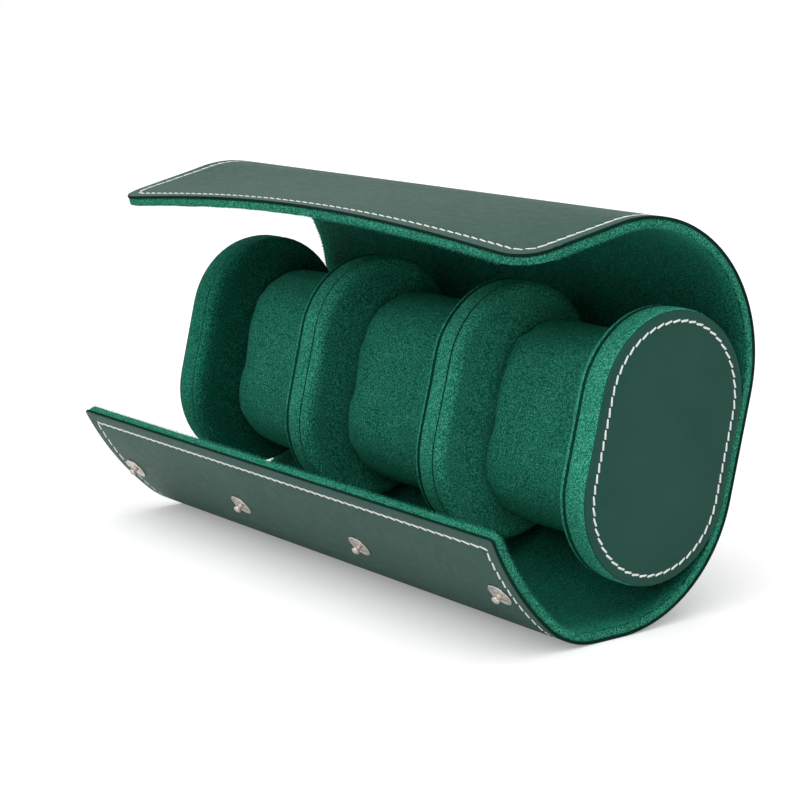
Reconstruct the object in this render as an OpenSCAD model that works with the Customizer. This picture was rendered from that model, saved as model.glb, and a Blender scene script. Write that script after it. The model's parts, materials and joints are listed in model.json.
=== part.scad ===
// Watch travel roll: a stitched leather wrap lined with microsuede, closed by four
// snaps, round a row of upright padded plates with a removable pillow in each bay.
// X runs along the roll, the mouth faces -Y and Z is up. The origin is the centre
// of the flat strip that the wrap rests on.

/* [Plates] */
// Length of the roll over both end caps
roll_len = 200; // [170:1:240]
// Height of a plate along its own long axis
plate_h = 75.5; // [68:0.5:90]
// Width of a plate across its flats
plate_w = 52; // [44:0.5:60]
// How far the plates lean back from upright
plate_tilt = 13.3; // [0:0.1:20]
// Distance from the middle of the roll to the middle of a divider
divider_x = 32.8; // [28:0.1:38]
// Width of the suede band round a divider
band_w = 6.8; // [4:0.1:10]
// Width of the suede band round an end cap
cap_band_w = 7.1; // [4:0.1:10]
// Thickness of the suede band
band_t = 1; // [0.6:0.1:2]
// Height of the padding on the face of a plate
pad_t = 3.4; // [2:0.1:5]
// Radius of the padding's edge
pad_edge = 2.6; // [1:0.1:3]
// Thickness of the leather facing on an end cap
facing_t = 1.6; // [0.8:0.1:2.5]

/* [Pillows] */
// Height of a pillow along the plates' long axis
pillow_h = 59; // [46:0.5:62]
// Width of a pillow
pillow_w = 38; // [30:0.5:44]
// How far a pillow sits behind the middle of the plates
pillow_back = 5.5; // [0:0.1:6]
// How far a pillow sits below the middle of the plates
pillow_drop = 0.5; // [0:0.1:4]
// Thickness of a pillow's suede cover
cover_t = 1.2; // [0.8:0.1:2]
// Clearance between a pillow and the padding beside it
pillow_gap = 0.4; // [0.3:0.1:1.5]

/* [Wrap] */
// How far the wrap's ends stand in from the end caps' outer faces
wrap_inset = 1; // [0:0.5:5]
// Thickness of the outer leather
leather_t = 1.2; // [0.8:0.1:2]
// Thickness of the stiffening board
board_t = 0.7; // [0.4:0.1:1.2]
// Thickness of the suede lining
lining_t = 1.3; // [0.8:0.1:2]
// Straight rise of the wrap above the plates' flat back
back_rise = 6.5; // [2:0.5:7]
// Outer radius of the wrap over the top
crown_radius = 42; // [36:0.5:50]
// Downward slope of the top flap towards its free edge
flap_slope = 8; // [0:0.5:20]
// Length of the straight part of the top flap
flap_len = 36.5; // [30:0.5:45]
// Corner radius of the top flap
flap_corner = 10; // [2:0.5:16]
// Outer radius of the wrap under the back
heel_radius = 41; // [36:0.5:48]
// Width of the flat strip that the roll rests on
rest_w = 8; // [4:0.5:14]
// Outer radius of the wrap where the lower flap starts
toe_radius = 28; // [24:0.5:40]
// Angle that the lower flap turns up by at the toe
toe_angle = 41; // [30:0.5:55]
// Outer radius of the lower flap above the toe
front_radius = 90; // [70:1:200]
// Length of the lower flap above the toe
front_len = 36; // [32:0.5:44]

/* [Folds] */
// Width of the soft line left between two stiff panels
fold_w = 1.2; // [1:0.1:2]
// Distance along the wrap from the plates' flat back up to the back fold
back_fold = 10.5; // [8:0.5:14]
// Distance from the plates' flat back up to the crown fold
crown_fold = 46; // [36:0.5:60]
// Distance from the plates' flat back up to the flap fold
flap_fold = 97; // [92:0.5:98]
// Distance from the plates' flat back down to the heel fold
heel_fold = 16; // [10:0.5:24]
// Distance from the end of the rest strip to the toe fold
toe_fold = 0.6; // [0.6:0.1:4]

/* [Snaps] */
// Number of snaps
snap_count = 4; // [2:1:4]
// Distance of the end snaps from the wrap's ends
snap_end_inset = 9; // [8:0.5:20]
// Distance of the studs from the lower flap's free edge
stud_inset = 22.5; // [14:0.5:28]
// Distance of the sockets from the top flap's free edge
socket_inset = 5.2; // [5:0.1:12]
// Diameter of the stud's flange
stud_d = 7.8; // [6:0.1:10]
// Thickness of a snap flange
flange_t = 0.5; // [0.4:0.1:0.8]
// Diameter of the stud's ball head
ball_d = 2.6; // [2:0.1:3]
// Height of the ball's centre above the leather
ball_rise = 1.6; // [1.4:0.1:2]
// Diameter of the stud's neck and shank
shank_d = 1.8; // [1.2:0.1:2]
// Diameter of the socket's flange
socket_d = 7.4; // [6:0.1:9]
// Diameter of the socket's barrel
barrel_d = 5; // [4.4:0.1:5.6]
// Diameter of the socket's cavity
cavity_d = 3.8; // [3.6:0.1:4]
// Wire thickness of the socket's spring ring
spring_t = 0.3; // [0.2:0.05:0.35]
// Diameter of the hidden clinch washers
washer_d = 6.4; // [5.8:0.1:7]
// Thickness of the hidden clinch washers
washer_t = 0.4; // [0.3:0.05:0.6]

/* [Hidden] */
$fn = 96;
SPOT = 0.05;            // running clearance round the metal parts
SEAT = 0.15;            // depth of the flat that a snap flange seats on
LAP = 0.001;            // how far a run of a layer reaches into the next one
wrap_t = leather_t + board_t + lining_t;
cap_t = facing_t + cap_band_w;
inner_len = roll_len - 2 * (cap_t + pad_t);
wrap_len = roll_len - 2 * wrap_inset;
snap_pitch = (wrap_len - 2 * snap_end_inset) / (snap_count - 1);
divider_t = band_w + 2 * pad_t;
plate_half = (plate_h - plate_w) / 2;

leather_green = [0.16, 0.28, 0.24];
suede_green = [0.08, 0.36, 0.28];
board_grey = [0.42, 0.41, 0.38];
foam_white = [0.86, 0.86, 0.82];
nickel = [0.78, 0.75, 0.73];

// A run of the wrap is [length, radius], with radius 0 for a straight one. The two
// routes follow the outer face, up over the top and down round the bottom, and each
// starts at an end of the plates' flat back.
top_runs = [
    [back_rise, 0],
    [crown_radius * turn(90 + flap_slope + plate_tilt), crown_radius],
    [flap_len, 0]
];
low_runs = [
    [heel_radius * turn(90 - plate_tilt), heel_radius],
    [rest_w, 0],
    [toe_radius * turn(toe_angle), toe_radius],
    [front_len, front_radius]
];
UP = 1;
DOWN = -1;
top_len = run_start(top_runs, len(top_runs));
low_len = run_start(low_runs, len(low_runs));
flap_start = run_start(top_runs, 2);
rest_start = run_start(low_runs, 1);
toe_start = run_start(low_runs, 2);
toe_fold_s = toe_start + toe_fold;

// Plate frame to the wrap's own: the flat back's two ends, in (y, z)
function turn(angle) = angle * PI / 180;
function plate_point(u, v) = [
    u * cos(plate_tilt) + v * sin(plate_tilt),
    v * cos(plate_tilt) - u * sin(plate_tilt)
];
function route_start(side) = plate_point(plate_w / 2 + wrap_t, side * plate_half);
function route_heading(side) = side == UP ? 90 - plate_tilt : 270 - plate_tilt;

// Where a point moved dist along a run ends up, as [y, z, heading]
function along(pose, dist, radius, side) = radius == 0
    ? [pose[0] + dist * cos(pose[2]), pose[1] + dist * sin(pose[2]), pose[2]]
    : let (
        swing = side * dist / radius * 180 / PI,
        chord = 2 * radius * sin(abs(swing) / 2),
        way = pose[2] + swing / 2
    ) [pose[0] + chord * cos(way), pose[1] + chord * sin(way), pose[2] + swing];
function run_start(runs, count) = count == 0 ? 0 : runs[count - 1][0] + run_start(runs, count - 1);
function run_pose(runs, side, count) = count == 0
    ? [route_start(side)[0], route_start(side)[1], route_heading(side)]
    : along(run_pose(runs, side, count - 1), runs[count - 1][0], runs[count - 1][1], side);
function run_at(runs, s, i = 0) = i == len(runs) - 1 || s <= run_start(runs, i + 1)
    ? i
    : run_at(runs, s, i + 1);
function pose_at(runs, side, s) = let (i = run_at(runs, s))
    along(run_pose(runs, side, i), s - run_start(runs, i), runs[i][1], side);

rest_pose = pose_at(low_runs, DOWN, rest_start + rest_w / 2);
origin_y = rest_pose[0];
origin_z = rest_pose[1];

// Everything below is drawn about the plates' centre and moved to the rest strip
module placed() {
    translate([0, -origin_y, -origin_z]) children();
}

// A (y, z) outline drawn out along the roll
module along_roll(length) {
    rotate([90, 0, 90])
        translate([0, 0, -length / 2])
            linear_extrude(length) children();
}

// The frame of the plates: X along the roll, Z up the plates' long axis
module at_plates() {
    placed() rotate([-plate_tilt, 0, 0]) children();
}

module stadium(h, w) {
    straight = (h - w) / 2;
    translate([0, straight]) circle(d = w);
    translate([0, -straight]) circle(d = w);
    square([w, h - w], center = true);
}

// A plate's outline drawn out from x0 to x1
module slab(h, w, x0, x1) {
    translate([(x0 + x1) / 2, 0, 0]) along_roll(abs(x1 - x0)) stadium(h, w);
}

module band(h, w, wall, x0, x1) {
    translate([(x0 + x1) / 2, 0, 0]) along_roll(abs(x1 - x0))
        difference() {
            stadium(h, w);
            stadium(h - 2 * wall, w - 2 * wall);
        }
}

// Half of a pad's section: radius across, height up, with a rounded outer edge
module pad_section(radius) {
    square([radius - pad_edge, pad_t]);
    square([radius, pad_t - pad_edge]);
    translate([radius - pad_edge, pad_t - pad_edge]) intersection() {
        circle(r = pad_edge);
        square(pad_edge);
    }
}

// A pad with a rounded edge that stands on x0 and faces towards face (+1 or -1)
module pad(h, w, x0, face) {
    straight = h - w;
    translate([x0, 0, 0]) rotate([0, face * 90, 0]) {
        for (end = [-1, 1])
            translate([end * straight / 2, 0, 0]) rotate_extrude() pad_section(w / 2);
        rotate([90, 0, 90]) translate([0, 0, -straight / 2]) linear_extrude(straight) {
            pad_section(w / 2);
            mirror([1, 0]) pad_section(w / 2);
        }
    }
}

// One curved or straight piece of a layer of the wrap, from its own start
module run_piece(length, radius, near, far) {
    if (radius == 0) {
        translate([0, near]) square([length, far - near]);
    } else {
        sweep = length / radius * 180 / PI;
        reach = 2 * radius;
        translate([0, radius]) intersection() {
            difference() {
                circle(r = radius - near, $fn = 360);
                circle(r = radius - far, $fn = 360);
            }
            polygon([
                [0, 0],
                [0, -reach],
                reach * [sin(sweep / 2), -cos(sweep / 2)],
                reach * [sin(sweep), -cos(sweep)]
            ]);
        }
    }
}

// A layer of the wrap between s0 and s1 along a route. near and far are its depths
// below the outer face.
module layer(runs, side, s0, s1, near, far) {
    for (i = [0 : len(runs) - 1]) {
        start = run_start(runs, i);
        from = max(s0, start);
        to = min(s1, start + runs[i][0]);
        if (to - from > LAP) {
            pose = along(run_pose(runs, side, i), from - start, runs[i][1], side);
            reach = s1 - to > LAP ? LAP : 0;
            translate([pose[0], pose[1]]) rotate(pose[2])
                mirror([0, side == DOWN ? 1 : 0])
                    run_piece(to - from + reach, runs[i][1], near, far);
        }
    }
}

module wrap_layer(runs, side, s0, s1, near, far) {
    placed() along_roll(wrap_len) layer(runs, side, s0, s1, near, far);
}

// The back panel is glued to the plates' flat back and runs on to both folds
module back_layer(near, far) {
    crown_part = back_fold - fold_w / 2 - back_rise;
    heel_part = heel_fold - fold_w / 2;
    at_plates() along_roll(wrap_len) translate([plate_w / 2 + wrap_t, 0]) {
        translate([-far, -plate_half - LAP])
            square([far - near, 2 * plate_half + back_rise + 2 * LAP]);
        translate([0, plate_half + back_rise]) rotate(90)
            run_piece(crown_part, crown_radius, near, far);
        translate([0, -plate_half]) rotate(270) mirror([0, 1])
            run_piece(heel_part, heel_radius, near, far);
    }
}

// The flap's flat front panel in its own frame: X along the roll, Y towards the
// free edge and Z into the case
module on_flap() {
    pose = pose_at(top_runs, UP, flap_fold + fold_w / 2);
    placed() translate([0, pose[0], pose[1]]) rotate([pose[2], 0, 0]) children();
}
panel_len = top_len - flap_fold - fold_w / 2;
module flap_panel(near, far) {
    translate([0, 0, near]) linear_extrude(far - near) intersection() {
        translate([-wrap_len / 2, 0]) square([wrap_len, panel_len]);
        union() {
            translate([-wrap_len / 2, -flap_corner]) square([wrap_len, panel_len]);
            translate([-wrap_len / 2 + flap_corner, 0])
                square([wrap_len - 2 * flap_corner, panel_len]);
            for (end = [-1, 1])
                translate([end * (wrap_len / 2 - flap_corner), panel_len - flap_corner])
                    circle(r = flap_corner);
        }
    }
}

module each_snap() {
    for (i = [0 : snap_count - 1])
        translate([(i - (snap_count - 1) / 2) * snap_pitch, 0, 0]) children();
}

// A stud's frame: Z out of the leather, from the bottom of its flat seat
module at_studs() {
    pose = pose_at(low_runs, DOWN, low_len - stud_inset);
    placed() each_snap()
        translate([0, pose[0], pose[1]]) rotate([pose[2], 0, 0])
            translate([0, 0, -SEAT]) children();
}

// A socket's frame: Z into the case, from the flap's outer face
module at_sockets() {
    on_flap() each_snap() translate([0, panel_len - socket_inset, 0]) children();
}

// ---- wrap ----
// The leather's flat, which the case can lie on, and the curves above and below it
module wrap_back_leather() {
    color(leather_green) placed() along_roll(wrap_len) {
        layer(top_runs, UP, 0, back_rise, 0, leather_t);
        layer(top_runs, UP, back_rise, back_fold - fold_w / 2, 0, leather_t);
        layer(low_runs, DOWN, 0, heel_fold - fold_w / 2, 0, leather_t);
        rotate(-plate_tilt)
            translate([plate_w / 2 + wrap_t - leather_t, -plate_half])
                square([leather_t, 2 * plate_half]);
    }
}
module wrap_back_board() {
    color(board_grey) back_layer(leather_t, leather_t + board_t);
}
module wrap_back_lining() {
    color(suede_green) back_layer(leather_t + board_t, wrap_t);
}
module crown_rear_layer(near, far) {
    wrap_layer(top_runs, UP, back_fold + fold_w / 2, crown_fold - fold_w / 2, near, far);
}
module crown_rear_leather() {
    color(leather_green) crown_rear_layer(0, leather_t);
}
module crown_rear_board() {
    color(board_grey) crown_rear_layer(leather_t, leather_t + board_t);
}
module crown_rear_lining() {
    color(suede_green) crown_rear_layer(leather_t + board_t, wrap_t);
}
module crown_front_layer(near, far) {
    wrap_layer(top_runs, UP, crown_fold + fold_w / 2, flap_fold - fold_w / 2, near, far);
}
module crown_front_leather() {
    color(leather_green) crown_front_layer(0, leather_t);
}
module crown_front_board() {
    color(board_grey) crown_front_layer(leather_t, leather_t + board_t);
}
module crown_front_lining() {
    color(suede_green) crown_front_layer(leather_t + board_t, wrap_t);
}
module top_flap_leather() {
    color(leather_green) on_flap() flap_panel(0, leather_t);
}
module top_flap_board() {
    color(board_grey) difference() {
        on_flap() flap_panel(leather_t, leather_t + board_t);
        at_sockets() translate([0, 0, leather_t / 2]) cylinder(d = washer_d + 2 * SPOT, h = wrap_t);
    }
}
module top_flap_lining() {
    color(suede_green) difference() {
        on_flap() flap_panel(leather_t + board_t, wrap_t);
        at_sockets() cylinder(d = barrel_d + 2 * SPOT, h = 2 * wrap_t);
    }
}
module heel_layer(near, far) {
    wrap_layer(low_runs, DOWN, heel_fold + fold_w / 2, toe_fold_s - fold_w / 2, near, far);
}
module heel_leather() {
    color(leather_green) heel_layer(0, leather_t);
}
module heel_board() {
    color(board_grey) heel_layer(leather_t, leather_t + board_t);
}
module heel_lining() {
    color(suede_green) heel_layer(leather_t + board_t, wrap_t);
}
module low_flap_layer(near, far) {
    wrap_layer(low_runs, DOWN, toe_fold_s + fold_w / 2, low_len, near, far);
}
module low_flap_leather() {
    color(leather_green) difference() {
        low_flap_layer(0, leather_t);
        at_studs() cylinder(d = stud_d + 2 * SPOT, h = wrap_t);
        at_studs() translate([0, 0, -wrap_t]) cylinder(d = shank_d + 2 * SPOT, h = 2 * wrap_t);
    }
}
module low_flap_board() {
    color(board_grey) difference() {
        low_flap_layer(leather_t, leather_t + board_t);
        at_studs() translate([0, 0, -wrap_t]) cylinder(d = washer_d + 2 * SPOT, h = 2 * wrap_t);
    }
}
module low_flap_lining() {
    color(suede_green) low_flap_layer(leather_t + board_t, wrap_t);
}

// ---- snaps ----
module snap_studs() {
    color(nickel) at_studs() {
        cylinder(d = stud_d, h = flange_t, $fn = 48);
        cylinder(d = shank_d, h = ball_rise, $fn = 32);
        translate([0, 0, ball_rise + SEAT]) sphere(d = ball_d, $fn = 32);
        shank = leather_t + board_t / 2 - SEAT;
        translate([0, 0, -shank]) cylinder(d = shank_d, h = shank, $fn = 32);
    }
}
module stud_washers() {
    color(nickel) at_studs() translate([0, 0, SEAT - leather_t - SPOT - washer_t])
        difference() {
            cylinder(d = washer_d, h = washer_t, $fn = 48);
            translate([0, 0, -washer_t]) cylinder(d = shank_d + 2 * SPOT, h = 3 * washer_t, $fn = 32);
        }
}
module snap_sockets() {
    color(nickel) at_sockets() difference() {
        union() {
            translate([0, 0, wrap_t]) cylinder(d = socket_d, h = flange_t, $fn = 48);
            translate([0, 0, leather_t + washer_t])
                cylinder(d = barrel_d, h = wrap_t - leather_t - washer_t + SPOT, $fn = 48);
        }
        translate([0, 0, leather_t - washer_t]) cylinder(d = cavity_d, h = 2 * wrap_t, $fn = 48);
    }
}
module socket_springs() {
    color(nickel) at_sockets()
        translate([0, 0, wrap_t - spring_t])
            rotate_extrude($fn = 48)
                translate([cavity_d / 2 - spring_t / 2 - SPOT / 2, 0]) circle(d = spring_t, $fn = 24);
}
module socket_washers() {
    color(nickel) at_sockets() translate([0, 0, leather_t + SPOT / 2]) difference() {
        cylinder(d = washer_d, h = washer_t - SPOT, $fn = 48);
        translate([0, 0, -washer_t]) cylinder(d = cavity_d, h = 3 * washer_t, $fn = 48);
    }
}

// ---- end caps ----
module cap_facing(face) {
    at_plates() slab(plate_h, plate_w, face * roll_len / 2, face * (roll_len / 2 - facing_t));
}
module cap_band(face) {
    at_plates() band(plate_h, plate_w, band_t, face * (roll_len / 2 - facing_t), face * (roll_len / 2 - cap_t));
}
module cap_core(face) {
    at_plates() slab(plate_h - 2 * band_t, plate_w - 2 * band_t,
        face * (roll_len / 2 - facing_t), face * (roll_len / 2 - cap_t));
}
module cap_pad(face) {
    at_plates() pad(plate_h, plate_w, face * (roll_len / 2 - cap_t), -face);
}
module left_cap_facing() { color(leather_green) cap_facing(-1); }
module left_cap_band() { color(suede_green) cap_band(-1); }
module left_cap_core() { color(board_grey) cap_core(-1); }
module left_cap_pad() { color(suede_green) cap_pad(-1); }
module right_cap_facing() { color(leather_green) cap_facing(1); }
module right_cap_band() { color(suede_green) cap_band(1); }
module right_cap_core() { color(board_grey) cap_core(1); }
module right_cap_pad() { color(suede_green) cap_pad(1); }

// ---- dividers ----
module divider_band(x) {
    at_plates() band(plate_h, plate_w, band_t, x - band_w / 2, x + band_w / 2);
}
module divider_core(x) {
    at_plates() slab(plate_h - 2 * band_t, plate_w - 2 * band_t, x - band_w / 2, x + band_w / 2);
}
module divider_pad(x, face) {
    at_plates() pad(plate_h, plate_w, x + face * band_w / 2, face);
}
module left_divider_band() { color(suede_green) divider_band(-divider_x); }
module left_divider_core() { color(board_grey) divider_core(-divider_x); }
module left_divider_pad_left() { color(suede_green) divider_pad(-divider_x, -1); }
module left_divider_pad_right() { color(suede_green) divider_pad(-divider_x, 1); }
module right_divider_band() { color(suede_green) divider_band(divider_x); }
module right_divider_core() { color(board_grey) divider_core(divider_x); }
module right_divider_pad_left() { color(suede_green) divider_pad(divider_x, -1); }
module right_divider_pad_right() { color(suede_green) divider_pad(divider_x, 1); }

// ---- pillows ----
// A bay is [left face, right face] of the padding either side of a pillow
left_bay = [-inner_len / 2, -divider_x - divider_t / 2];
middle_bay = [-divider_x + divider_t / 2, divider_x - divider_t / 2];
right_bay = [divider_x + divider_t / 2, inner_len / 2];
module at_pillow() {
    at_plates() translate([0, pillow_back, -pillow_drop]) children();
}
module pillow_cover(bay) {
    at_pillow() band(pillow_h, pillow_w, cover_t, bay[0] + pillow_gap, bay[1] - pillow_gap);
}
module pillow_ends(bay) {
    at_pillow() {
        slab(pillow_h - 2 * cover_t, pillow_w - 2 * cover_t,
            bay[0] + pillow_gap, bay[0] + pillow_gap + cover_t);
        slab(pillow_h - 2 * cover_t, pillow_w - 2 * cover_t,
            bay[1] - pillow_gap - cover_t, bay[1] - pillow_gap);
    }
}
module pillow_foam(bay) {
    at_pillow() slab(pillow_h - 2 * cover_t, pillow_w - 2 * cover_t,
        bay[0] + pillow_gap + cover_t, bay[1] - pillow_gap - cover_t);
}
module left_pillow_cover() { color(suede_green) pillow_cover(left_bay); }
module left_pillow_ends() { color(suede_green) pillow_ends(left_bay); }
module left_pillow_foam() { color(foam_white) pillow_foam(left_bay); }
module middle_pillow_cover() { color(suede_green) pillow_cover(middle_bay); }
module middle_pillow_ends() { color(suede_green) pillow_ends(middle_bay); }
module middle_pillow_foam() { color(foam_white) pillow_foam(middle_bay); }
module right_pillow_cover() { color(suede_green) pillow_cover(right_bay); }
module right_pillow_ends() { color(suede_green) pillow_ends(right_bay); }
module right_pillow_foam() { color(foam_white) pillow_foam(right_bay); }

wrap_back_leather();
wrap_back_board();
wrap_back_lining();
crown_rear_leather();
crown_rear_board();
crown_rear_lining();
crown_front_leather();
crown_front_board();
crown_front_lining();
top_flap_leather();
top_flap_board();
top_flap_lining();
heel_leather();
heel_board();
heel_lining();
low_flap_leather();
low_flap_board();
low_flap_lining();
snap_studs();
stud_washers();
snap_sockets();
socket_springs();
socket_washers();
left_cap_facing();
left_cap_band();
left_cap_core();
left_cap_pad();
right_cap_facing();
right_cap_band();
right_cap_core();
right_cap_pad();
left_divider_band();
left_divider_core();
left_divider_pad_left();
left_divider_pad_right();
right_divider_band();
right_divider_core();
right_divider_pad_left();
right_divider_pad_right();
left_pillow_cover();
left_pillow_ends();
left_pillow_foam();
middle_pillow_cover();
middle_pillow_ends();
middle_pillow_foam();
right_pillow_cover();
right_pillow_ends();
right_pillow_foam();
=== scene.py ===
import json
import math

import bmesh
import bpy
from mathutils import Matrix, Vector, noise
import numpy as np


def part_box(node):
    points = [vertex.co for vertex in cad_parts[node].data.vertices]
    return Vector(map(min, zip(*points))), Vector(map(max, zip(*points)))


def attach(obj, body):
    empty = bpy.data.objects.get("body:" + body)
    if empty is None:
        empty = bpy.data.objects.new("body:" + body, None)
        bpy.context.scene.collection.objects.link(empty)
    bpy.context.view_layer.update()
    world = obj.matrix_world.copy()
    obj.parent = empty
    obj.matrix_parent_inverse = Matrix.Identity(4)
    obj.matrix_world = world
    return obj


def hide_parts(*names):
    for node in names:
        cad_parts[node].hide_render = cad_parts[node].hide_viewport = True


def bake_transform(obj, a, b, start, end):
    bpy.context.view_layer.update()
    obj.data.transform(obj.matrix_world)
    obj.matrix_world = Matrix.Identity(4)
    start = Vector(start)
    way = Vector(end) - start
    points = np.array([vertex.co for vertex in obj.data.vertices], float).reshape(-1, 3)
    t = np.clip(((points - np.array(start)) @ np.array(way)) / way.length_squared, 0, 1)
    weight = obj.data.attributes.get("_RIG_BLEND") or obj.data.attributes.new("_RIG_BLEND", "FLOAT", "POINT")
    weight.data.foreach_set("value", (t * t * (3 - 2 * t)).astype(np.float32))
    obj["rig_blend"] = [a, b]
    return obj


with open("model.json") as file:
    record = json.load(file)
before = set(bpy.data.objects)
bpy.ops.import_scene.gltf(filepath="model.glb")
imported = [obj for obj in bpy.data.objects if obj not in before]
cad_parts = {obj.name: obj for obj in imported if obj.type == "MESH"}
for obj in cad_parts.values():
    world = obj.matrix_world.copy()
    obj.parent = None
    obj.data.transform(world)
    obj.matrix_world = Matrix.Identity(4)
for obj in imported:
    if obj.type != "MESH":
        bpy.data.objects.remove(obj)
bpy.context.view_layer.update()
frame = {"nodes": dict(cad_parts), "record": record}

MM = 0.001

# ---- sizes of the case, as in the solids, but for the leather ----
PLATE_H = 75.5 * MM
PLATE_W = 52 * MM
PLATE_TILT = math.radians(13.3)
PLATE_HALF = (PLATE_H - PLATE_W) / 2
PILLOW_H = 59 * MM
PILLOW_W = 38 * MM
PILLOW_BACK = 5.5 * MM
PILLOW_DROP = 0.5 * MM

# Leather and lining part at LEATHER_T, which is 1.2 mm in the solids. The edge shows less leather.
WRAP_LEN = 198 * MM
LEATHER_T = 0.8 * MM
WRAP_T = 3.2 * MM
BACK_RISE = 6.5 * MM
CROWN_RADIUS = 42 * MM
FLAP_SLOPE = math.radians(8)
FLAP_LEN = 36.5 * MM
FLAP_CORNER = 10 * MM
LOW_CORNER = 1.5 * MM
HEEL_RADIUS = 41 * MM
REST_W = 8 * MM
TOE_RADIUS = 28 * MM
TOE_SLOPE = math.radians(41)
FRONT_RADIUS = 90 * MM
FRONT_LEN = 36 * MM

# Folds, as distances along the wrap from the flat back's upper and lower ends
BACK_FOLD = 10.5 * MM
CROWN_FOLD = 46 * MM
FLAP_FOLD = 97 * MM
HEEL_FOLD = 16 * MM
TOE_FOLD = 0.6 * MM
FOLD_REACH = 4.5 * MM

SNAP_XS = [-90 * MM, -30 * MM, 30 * MM, 90 * MM]
STUD_INSET = 22.5 * MM
SOCKET_INSET = 5.2 * MM

# The top flap bows: its ends hang lower than its middle, as limp leather does. At LEVEL_X it
# hangs as the solids do, and FLAP_SHUT_TURN is how far its fold turns when the case is closed.
BOW_MIDDLE = math.radians(-4.2)
BOW_END = math.radians(9.7)
BOW_X = 8 * MM
LEVEL_X = BOW_X + 99 * MM * math.sqrt(-BOW_MIDDLE / BOW_END)
FLAP_SHUT_TURN = math.radians(28.4383)

# Towards its free edge the lower flap widens a little, and the top flap only at its left end
FLARE = 3.6 * MM
TOP_FLARE = 3 * MM

# Stitching
STITCH_PITCH = 3.3 * MM
CAP_STITCH_PITCH = 2.9 * MM
STITCH_FILL = 0.95
STITCH_TILT = 0.2
THREAD_D = 0.8 * MM
THREAD_FLAT = 0.8
STITCH_INSET = 4 * MM
CAP_STITCH_INSET = 2.9 * MM
GROOVE_DEPTH = 0.2 * MM
GROOVE_W = 0.5 * MM
STITCH_SUNK = GROOVE_DEPTH * 0.6


# ---- the route of the wrap's outer face, in (y, z) ----
def advance(pose, dist, radius, side):
    """Where a point that moves dist along a run ends up; side is +1 to turn left."""
    y, z, heading = pose
    if radius == 0:
        return y + dist * math.cos(heading), z + dist * math.sin(heading), heading
    swing = side * dist / radius
    chord = 2 * radius * math.sin(abs(swing) / 2)
    if dist < 0:
        chord = -chord
    way = heading + swing / 2
    return y + chord * math.cos(way), z + chord * math.sin(way), heading + swing


def plate_point(across, up):
    """A point of the plates' own frame, in (y, z) about the plates' centre."""
    return (
        across * math.cos(PLATE_TILT) + up * math.sin(PLATE_TILT),
        up * math.cos(PLATE_TILT) - across * math.sin(PLATE_TILT),
    )


QUARTER = math.pi / 2
HEEL_RUN = HEEL_RADIUS * (QUARTER - PLATE_TILT)
TOE_RUN = TOE_RADIUS * TOE_SLOPE
LOW_RUNS = [
    (HEEL_RUN, HEEL_RADIUS),
    (REST_W, 0),
    (TOE_RUN, TOE_RADIUS),
    (FRONT_LEN, FRONT_RADIUS),
]
LOW_LEN = sum(length for length, radius in LOW_RUNS)
CROWN_TURN = QUARTER + FLAP_SLOPE + PLATE_TILT
TOP_LEN = BACK_RISE + CROWN_RADIUS * CROWN_TURN + FLAP_LEN
TOE_FOLD_AT = HEEL_RUN + REST_W + TOE_FOLD
FLAT_BACK = 2 * PLATE_HALF


def low_pose(dist):
    pose = (*plate_point(PLATE_W / 2 + WRAP_T, -PLATE_HALF), 3 * QUARTER - PLATE_TILT)
    for length, radius in LOW_RUNS:
        pose = advance(pose, min(dist, length), radius, -1)
        dist -= length
        if dist <= 0:
            break
    return pose


def bow(x):
    """How much further than its middle the top flap turns down at x."""
    return BOW_MIDDLE + BOW_END * ((x - BOW_X) / (WRAP_LEN / 2)) ** 2


def top_pose(dist, x):
    pose = (*plate_point(PLATE_W / 2 + WRAP_T, PLATE_HALF), QUARTER - PLATE_TILT)
    if dist <= BACK_RISE:
        return advance(pose, dist, 0, 1)
    pose = advance(pose, BACK_RISE, 0, 1)
    crown_run = CROWN_RADIUS * (CROWN_TURN + bow(x))
    dist -= BACK_RISE
    pose = advance(pose, min(dist, crown_run), CROWN_RADIUS, 1)
    return advance(pose, dist - crown_run, 0, 1) if dist > crown_run else pose


REST_POSE = low_pose(HEEL_RUN + REST_W / 2)
ORIGIN_Y, ORIGIN_Z = -REST_POSE[0], -REST_POSE[1]
PLATES = Matrix.Translation((0, ORIGIN_Y, ORIGIN_Z)) @ Matrix.Rotation(-PLATE_TILT, 4, "X")


def wrap_frame(x, s):
    """Point, tangent and inward normal of the outer face at s along the wrap: s runs from the
    lower free edge, which is negative, to the top flap's free edge."""
    if s >= -FLAT_BACK:
        y, z, heading = top_pose(s, x)
        tangent = Vector((0, math.cos(heading), math.sin(heading)))
        inward = Vector((0, -math.sin(heading), math.cos(heading)))
        past_crown = max(0, (s - FLAP_FOLD) / (TOP_LEN - FLAP_FOLD))
        x -= TOP_FLARE * past_crown * max(0, -x / (WRAP_LEN / 2)) ** 5
    else:
        y, z, heading = low_pose(-FLAT_BACK - s)
        tangent = -Vector((0, math.cos(heading), math.sin(heading)))
        inward = Vector((0, math.sin(heading), -math.cos(heading)))
        past_toe = max(0, (-FLAT_BACK - s - TOE_FOLD_AT) / (LOW_LEN - TOE_FOLD_AT))
        x += FLARE * past_toe * (x / (WRAP_LEN / 2)) ** 5
    return Vector((x, y + ORIGIN_Y, z + ORIGIN_Z)), tangent, inward


def on_wrap(x, s, depth):
    """A point of the flat-cut wrap, rolled into place. depth is below the outer face."""
    point, tangent, inward = wrap_frame(x, s)
    return point + inward * depth


LOW_END = -FLAT_BACK - LOW_LEN


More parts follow.
